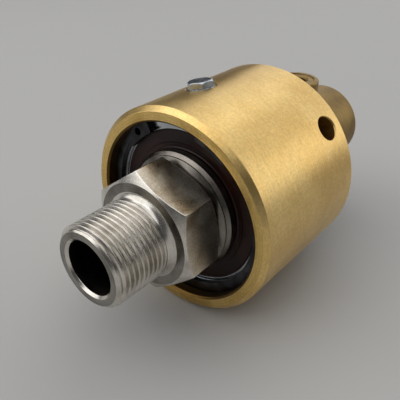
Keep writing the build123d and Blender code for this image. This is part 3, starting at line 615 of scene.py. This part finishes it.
def makeFillerPlug(settings):
    # hexagon head on a threaded stub, its axis along the outward direction
    s = settings
    corner = s["acrossFlats"] / 2 / np.cos(np.radians(30)) * 1.01
    crown = (corner - s["topRadius"]) * np.tan(np.radians(30))
    stubX, stubR = roundedPath([(-s["tip"], 0, 0), (-s["tip"], s["thread"] * 0.8, 0),
                                (-s["tip"] + 0.4 * mm, s["thread"], 0), (0, s["thread"], 0),
                                (0, s["washerRadius"], 0.12 * mm),
                                (s["washerHeight"], s["washerRadius"], 0.12 * mm),
                                (s["washerHeight"], s["acrossFlats"] / 2, 0)], closed=False)
    headX = np.concatenate([s["washerHeight"] + np.array([0, 0.04]) * mm,
                            np.linspace(s["washerHeight"] + 0.2 * mm, s["height"] - crown, 5),
                            np.linspace(s["height"] - crown, s["height"] - 0.02 * mm, 12)[1:]])[:, None]
    headR = np.interp(
        headX, [s["washerHeight"], s["washerHeight"] + 0.04 * mm, s["height"] - crown, s["height"]],
        [corner * 0.985, corner, corner, s["topRadius"]])
    topX = np.full((3, 1), s["height"])
    topR = s["topRadius"] * np.array([[0.985], [0.9], [0.0]])
    angles = cornerAngles(120, s["turn"])
    rings = len(angles)
    head = hexagonLimit(headR, angles, s["acrossFlats"], s["turn"])
    radius = np.vstack([np.broadcast_to(stubR, (len(stubR), rings)), head, np.broadcast_to(topR, (3, rings))])
    x = np.vstack([stubX, headX, topX])
    outward = np.array([0, -np.sin(np.radians(s["angle"])), np.cos(np.radians(s["angle"]))])
    points = placed(aroundAxis(x, radius, angles), np.array([s["place"], 0, 0]) + outward * s["spotface"],
                    outward, (1, 0, 0))
    plug = newPiece("fillerPlug", gridMesh("fillerPlug", points, False), "stationary_housing", "filler_plug")
    level = s["spotface"] + s["washerHeight"] + 0.02 * mm
    paintByPlace(plug, [zincPlate, groundSteel], lambda centre, normal: np.where(
        (centre @ outward < level) & (np.linalg.norm(np.cross(centre - [s["place"], 0, 0], outward), axis=1)
                                      > s["acrossFlats"] * 0.5), 1, 0))


makeFillerPlug(fillerSettings)

screwSettings = {
    "top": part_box("end_cap_screws")[1].x, "circle": 26.5 * mm, "count": 6, "firstAngle": 30.0,
    "head": 4.25 * mm, "headHeight": 5 * mm, "thread": 2.5 * mm, "length": 12 * mm,
    "socket": 4 * mm, "socketDepth": 2.5 * mm, "edge": 0.5 * mm,
}


def makeSocketScrew(name, body, node, settings, placements, finish):
    # cylinder head with a hexagon socket: the radius runs from the round wall over the top into the six flats
    s = settings
    headFront = -s["headHeight"]
    mouth, throat = s["socket"] * 0.62, s["socket"] * 0.585  # the socket's countersink, outside and inside
    outside = roundedPath([
        (headFront - s["length"], 0, 0), (headFront - s["length"], s["thread"] * 0.8, 0),
        (headFront - s["length"] + 0.5 * mm, s["thread"], 0), (headFront, s["thread"], 0),
        (headFront, s["head"], 0.15 * mm), (0, s["head"], s["edge"]),
        (0, mouth, 0.1 * mm), (-0.25 * mm, throat, 0)], closed=False)
    inside = np.array([[-0.3 * mm], [-0.5 * mm], [-s["socketDepth"] * 0.6], [-s["socketDepth"]]])
    floorX = np.array([[-s["socketDepth"]], [-s["socketDepth"] - 0.5 * mm]])
    floorR = np.array([[s["socket"] * 0.45], [0.0]])
    angles = ringAngles(96)
    rings = len(angles)
    socket = hexagonLimit(np.full((4, 1), throat), angles, s["socket"], 0.0, 90.0)
    radius = np.vstack([np.broadcast_to(outside[1], (len(outside[1]), rings)), socket,
                        np.broadcast_to(floorR, (2, rings))])
    x = np.vstack([outside[0], inside, floorX])
    shape = aroundAxis(x, radius, angles)
    mesh = bpy.data.meshes.new(name)
    parts = [gridMesh(name + "Part", placed(shape, origin, axis, side), False)
             for origin, axis, side in placements]
    joined = bmesh.new()
    for part in parts:
        joined.from_mesh(part)
        bpy.data.meshes.remove(part)
    joined.to_mesh(mesh)
    joined.free()
    mesh.polygons.foreach_set("use_smooth", np.ones(len(mesh.polygons), bool))
    mesh.materials.append(finish)
    newPiece(name, mesh, body, node)


screwAngles = np.radians(screwSettings["firstAngle"] + 60 * np.arange(screwSettings["count"]))
makeSocketScrew("capScrews", "stationary_housing", "end_cap_screws", screwSettings, [
    ((screwSettings["top"], -screwSettings["circle"] * np.sin(a), screwSettings["circle"] * np.cos(a)),
     (1, 0, 0), (0, 0, 1)) for a in screwAngles], blackSteel)

sideLow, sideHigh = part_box("side_port_plug")
sideSettings = {
    "x": (sideLow.x + sideHigh.x) / 2, "top": sideHigh.z, "head": 6.58 * mm, "headHeight": 5.2 * mm,
    "thread": 6.5 * mm, "length": 4.8 * mm, "socket": 7 * mm, "socketDepth": 5 * mm, "edge": 0.15 * mm,
}
makeSocketScrew("sidePlug", "stationary_housing", "side_port_plug", sideSettings, [
    ((sideSettings["x"], 0, sideSettings["top"]), (0, 0, 1), (1, 0, 0))], castBrass)
print("small parts: filler plug, cap screws and side plug")


def narrowest(node):
    # the smallest distance of a CAD node's points from the X axis
    mesh = cadNodes[node].data
    places = np.empty(len(mesh.vertices) * 3)
    mesh.vertices.foreach_get("co", places)
    return np.hypot(places[1::3], places[2::3]).min()


def makeBearingSeal(name, node, outward):
    # moulded seal: a turned profile with a raised lip rim, a sunk web and its steel insert's bare edge
    low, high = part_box(node)
    face, back = (low.x, high.x) if outward < 0 else (high.x, low.x)
    inner, outer = narrowest(node), high.z
    rim = outer - 1.1 * mm
    step = outward * mm
    x, radius = roundedPath([
        (face, inner, 0.15 * mm), (face, inner + 1.3 * mm, 0.25 * mm),
        (face - 0.3 * step, inner + 1.7 * mm, 0.25 * mm), (face - 0.3 * step, inner + 3.0 * mm, 0.2 * mm),
        (face - 0.16 * step, inner + 3.3 * mm, 0.2 * mm), (face - 0.16 * step, rim - 0.4 * mm, 0.15 * mm),
        (face - 0.35 * step, rim - 0.3 * mm, 0.05 * mm), (face - 0.35 * step, rim, 0.05 * mm),
        (face, rim + 0.05 * mm, 0.1 * mm), (face, outer, 0.02 * mm),
        (back, outer, 0.1 * mm), (back, inner, 0.1 * mm)])
    angles = ringAngles(256)
    radius = np.broadcast_to(radius, (len(radius), len(angles)))
    seal = newPiece(name, gridMesh(name, aroundAxis(x, radius, angles), True), "stationary_housing", node)
    paintByPlace(seal, [sealRubber, groundSteel], lambda centre, normal: np.where(
        np.hypot(centre[:, 1], centre[:, 2]) > rim, 1, 0))


makeBearingSeal("frontSeal", "front_bearing_seal", -1)
makeBearingSeal("rearSeal", "rear_bearing_seal", 1)
print("bearings: two seals")

cameraDesk = {
    "place": (-205.5 * mm, -96.0 * mm, 92.6 * mm),
    "right": (0.633, -0.774, 0.0), "up": (0.406, 0.332, 0.851),
    "lens": 46.98,
}
lens = bpy.data.cameras.new("deskCamera")
lens.lens = cameraDesk["lens"]
lens.sensor_width = 36.0
lens.clip_start = 0.01
lens.clip_end = 20.0
camera = bpy.data.objects.new("deskCamera", lens)
bpy.context.scene.collection.objects.link(camera)
right = Vector(cameraDesk["right"]).normalized()
up = Vector(cameraDesk["up"])
up = (up - right * up.dot(right)).normalized()
turn = Matrix((right, up, right.cross(up))).transposed().to_4x4()
camera.matrix_world = Matrix.Translation(cameraDesk["place"]) @ turn
bpy.context.scene.camera = camera

floorSettings = {"half": 1.6, "color": "#B6B5B3"}
floorZ = cadLow.z
half = floorSettings["half"]
floorMesh = bpy.data.meshes.new("floor")
floorMesh.from_pydata([(-half, -half, floorZ), (half, -half, floorZ), (half, half, floorZ),
                       (-half, half, floorZ)], [], [(0, 1, 2, 3)])
floor = bpy.data.objects.new("floor", floorMesh)
bpy.context.scene.collection.objects.link(floor)
floorFinish, _, floorSurface, _ = newFinish("paleFloor")
floorSurface.inputs["Base Color"].default_value = linearColor(floorSettings["color"])
floorSurface.inputs["Roughness"].default_value = 0.9
floorMesh.materials.append(floorFinish)


def softLight(name, place, aim, width, height, power):
    # a rectangular studio light at place that faces aim
    lamp = bpy.data.lights.new(name, "AREA")
    lamp.shape = "RECTANGLE"
    lamp.size, lamp.size_y = width, height
    lamp.energy = power
    holder = bpy.data.objects.new(name, lamp)
    bpy.context.scene.collection.objects.link(holder)
    holder.location = place
    holder.rotation_mode = "QUATERNION"
    holder.rotation_quaternion = (Vector(aim) - Vector(place)).to_track_quat("-Z", "Y")


objectCentre = (cadLow + cadHigh) / 2
softLight("ceilingPanel", (-0.15, 0.1, 1.2), objectCentre, 2.5, 1.9, 15.5)
softLight("rearPanel", (1.25, -0.2, 0.66), objectCentre, 2.8, 1.3, 10.2)
softLight("cornerPanel", (-0.85, 0.72, 0.66), objectCentre, 1.3, 1.0, 6.0)
softLight("sidePanel", (1.05, -0.85, 0.30), objectCentre, 0.8, 0.6, 0.8)

# the room is dim to the object and pale to the eye
world = bpy.data.worlds.new("paleRoom")
bpy.context.scene.world = world
world.use_nodes = True
roomTree = world.node_tree
seen = addNode(roomTree, "ShaderNodeLightPath").outputs["Is Camera Ray"]
brightness = addNode(roomTree, "ShaderNodeMapRange", {"Value": seen, "To Min": 0.10, "To Max": 0.62})
roomTree.nodes["Background"].inputs["Color"].default_value = linearColor("#D8DADD")
roomTree.links.new(brightness.outputs["Result"], roomTree.nodes["Background"].inputs["Strength"])
bpy.context.scene.view_settings.view_transform = "Standard"
print("stage: camera, floor and lights are in")
